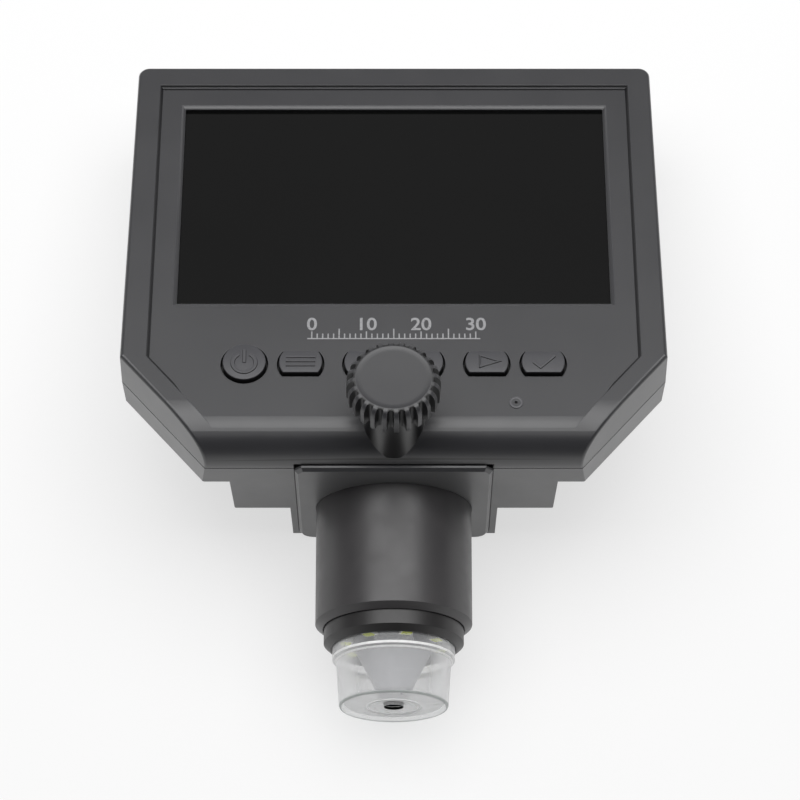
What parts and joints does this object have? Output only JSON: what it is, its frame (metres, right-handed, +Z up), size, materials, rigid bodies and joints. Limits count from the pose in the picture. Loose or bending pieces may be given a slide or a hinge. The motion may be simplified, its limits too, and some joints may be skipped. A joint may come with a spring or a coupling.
{
  "type": "handheld digital microscope",
  "caption": "Handheld digital microscope: tilted built-in screen with a key row, focus knob, stepped back, and a lens tube with ring light and clear cap.",
  "frame": {"origin": "under the middle of the whole length, on the flat back of the neck on which the microscope lies", "axes": "+X to the right seen from the user's side, +Y along the lens tube away from the lens, +Z up from the flat back towards the screen side"},
  "size_m": [0.12, 0.1514, 0.0672],
  "materials": {
    "housing_plastic": "spark-textured ABS moulding, charcoal grey",
    "button_plastic": "satin moulded ABS, charcoal grey",
    "knob_plastic": "satin moulded ABS with moulded flutes",
    "tube_plastic": "turned look, satin dark grey moulding",
    "ring_plastic": "satin dark grey moulding",
    "screen_glass": "polished cover glass over a dark panel",
    "screen_tray": "pressed metal tray",
    "circuit_board": "solder-masked glass-fibre board",
    "lamp_board_white": "white solder-masked board",
    "chip_black": "moulded chip bodies",
    "switch_metal": "pressed steel over black plastic",
    "steel_bright": "bright zinc-plated steel",
    "shaft_steel": "ground steel rod",
    "bush_plastic": "natural acetal, machined",
    "gear_plastic": "white acetal, moulded teeth",
    "barrel_plastic": "black moulding, matt inside",
    "lens_glass": "polished and coated lens",
    "sensor_ceramic": "ceramic package with cover glass",
    "lamp_yellow": "phosphor-filled lamp lens",
    "cone_plastic": "grey moulded cone",
    "cap_acrylic": "clear moulded acrylic",
    "cell_sleeve": "shrink sleeve on a steel can",
    "mic_metal": "drawn aluminium can",
    "pot_plastic": "moulded thermoset"
  },
  "bodies": {
    "housing": {"front_cover": "housing_plastic", "rear_cover": "housing_plastic", "lcd_glass": "screen_glass", "lcd_backlight": "screen_tray", "main_board": "circuit_board", "board_chips": "chip_black", "key_board": "circuit_board", "tact_switches": "switch_metal", "board_screws": "steel_bright", "microphone": "mic_metal", "shaft_bush": "bush_plastic", "lens_tube": "tube_plastic", "mount_plate": "housing_plastic", "plate_screws": "steel_bright", "lamp_head_ring": "ring_plastic", "lamp_board": "lamp_board_white", "led_lamps": "lamp_yellow", "light_cone": "cone_plastic", "battery_cell": "cell_sleeve", "battery_contacts": "steel_bright", "usb_port": "steel_bright", "card_slot": "steel_bright", "dimmer_pot": "pot_plastic", "case_screws": "steel_bright"},
    "focus_knob": {"focus_knob": "knob_plastic", "knob_shaft": "shaft_steel", "retaining_clip": "steel_bright", "focus_pinion": "gear_plastic"},
    "carriage": {"camera_barrel": "barrel_plastic", "focus_rack": "gear_plastic", "lens_holder": "barrel_plastic", "objective_lens": "lens_glass", "camera_board": "circuit_board", "image_sensor": "sensor_ceramic"},
    "power_button": {"power_button": "button_plastic"},
    "menu_button": {"menu_button": "button_plastic"},
    "zoom_out_button": {"zoom_out_button": "button_plastic"},
    "zoom_in_button": {"zoom_in_button": "button_plastic"},
    "play_button": {"play_button": "button_plastic"},
    "confirm_button": {"confirm_button": "button_plastic"},
    "dimmer_wheel": {"dimmer_wheel": "knob_plastic"},
    "battery_cover": {"battery_cover": "housing_plastic"},
    "clear_cap": {"clear_cap": "cap_acrylic"}
  },
  "joints": [
    {"name": "focus_turn", "type": "hinge", "parent": "housing", "child": "focus_knob", "pos_m": [0, -0.01957, 0.05036], "axis": [0, 0.2181, 0.9759], "range_deg": [-120, 120]},
    {"name": "carriage_slide", "type": "slide", "parent": "housing", "child": "carriage", "axis": [0, 1, 0], "range_m": [-0.009, 0.009]},
    {"name": "power_button_press", "type": "slide", "parent": "housing", "child": "power_button", "axis": [0, -0.2181, -0.9759], "range_m": [0, 0.0004], "stiffness_N_per_m": 1500, "springref_m": -0.0003},
    {"name": "menu_button_press", "type": "slide", "parent": "housing", "child": "menu_button", "axis": [0, -0.2181, -0.9759], "range_m": [0, 0.0004], "stiffness_N_per_m": 1500, "springref_m": -0.0003},
    {"name": "zoom_out_button_press", "type": "slide", "parent": "housing", "child": "zoom_out_button", "axis": [0, -0.2181, -0.9759], "range_m": [0, 0.0004], "stiffness_N_per_m": 1500, "springref_m": -0.0003},
    {"name": "zoom_in_button_press", "type": "slide", "parent": "housing", "child": "zoom_in_button", "axis": [0, -0.2181, -0.9759], "range_m": [0, 0.0004], "stiffness_N_per_m": 1500, "springref_m": -0.0003},
    {"name": "play_button_press", "type": "slide", "parent": "housing", "child": "play_button", "axis": [0, -0.2181, -0.9759], "range_m": [0, 0.0004], "stiffness_N_per_m": 1500, "springref_m": -0.0003},
    {"name": "confirm_button_press", "type": "slide", "parent": "housing", "child": "confirm_button", "axis": [0, -0.2181, -0.9759], "range_m": [0, 0.0004], "stiffness_N_per_m": 1500, "springref_m": -0.0003},
    {"name": "brightness_turn", "type": "hinge", "parent": "housing", "child": "dimmer_wheel", "pos_m": [0.032, 0.06769, 0.01708], "axis": [0, 0.2181, 0.9759], "range_deg": [0, 270]},
    {"name": "battery_cover_slide", "type": "slide", "parent": "housing", "child": "battery_cover", "axis": [0, 0.9759, -0.2181], "range_m": [0, 0.028]},
    {"name": "cap_pull", "type": "slide", "parent": "housing", "child": "clear_cap", "axis": [0, -1, 0], "range_m": [0, 0.015]}
  ],
  "couplings": [
    {"joint": "focus_turn", "follows": "carriage_slide", "rad_per_m": 232.36}
  ]
}
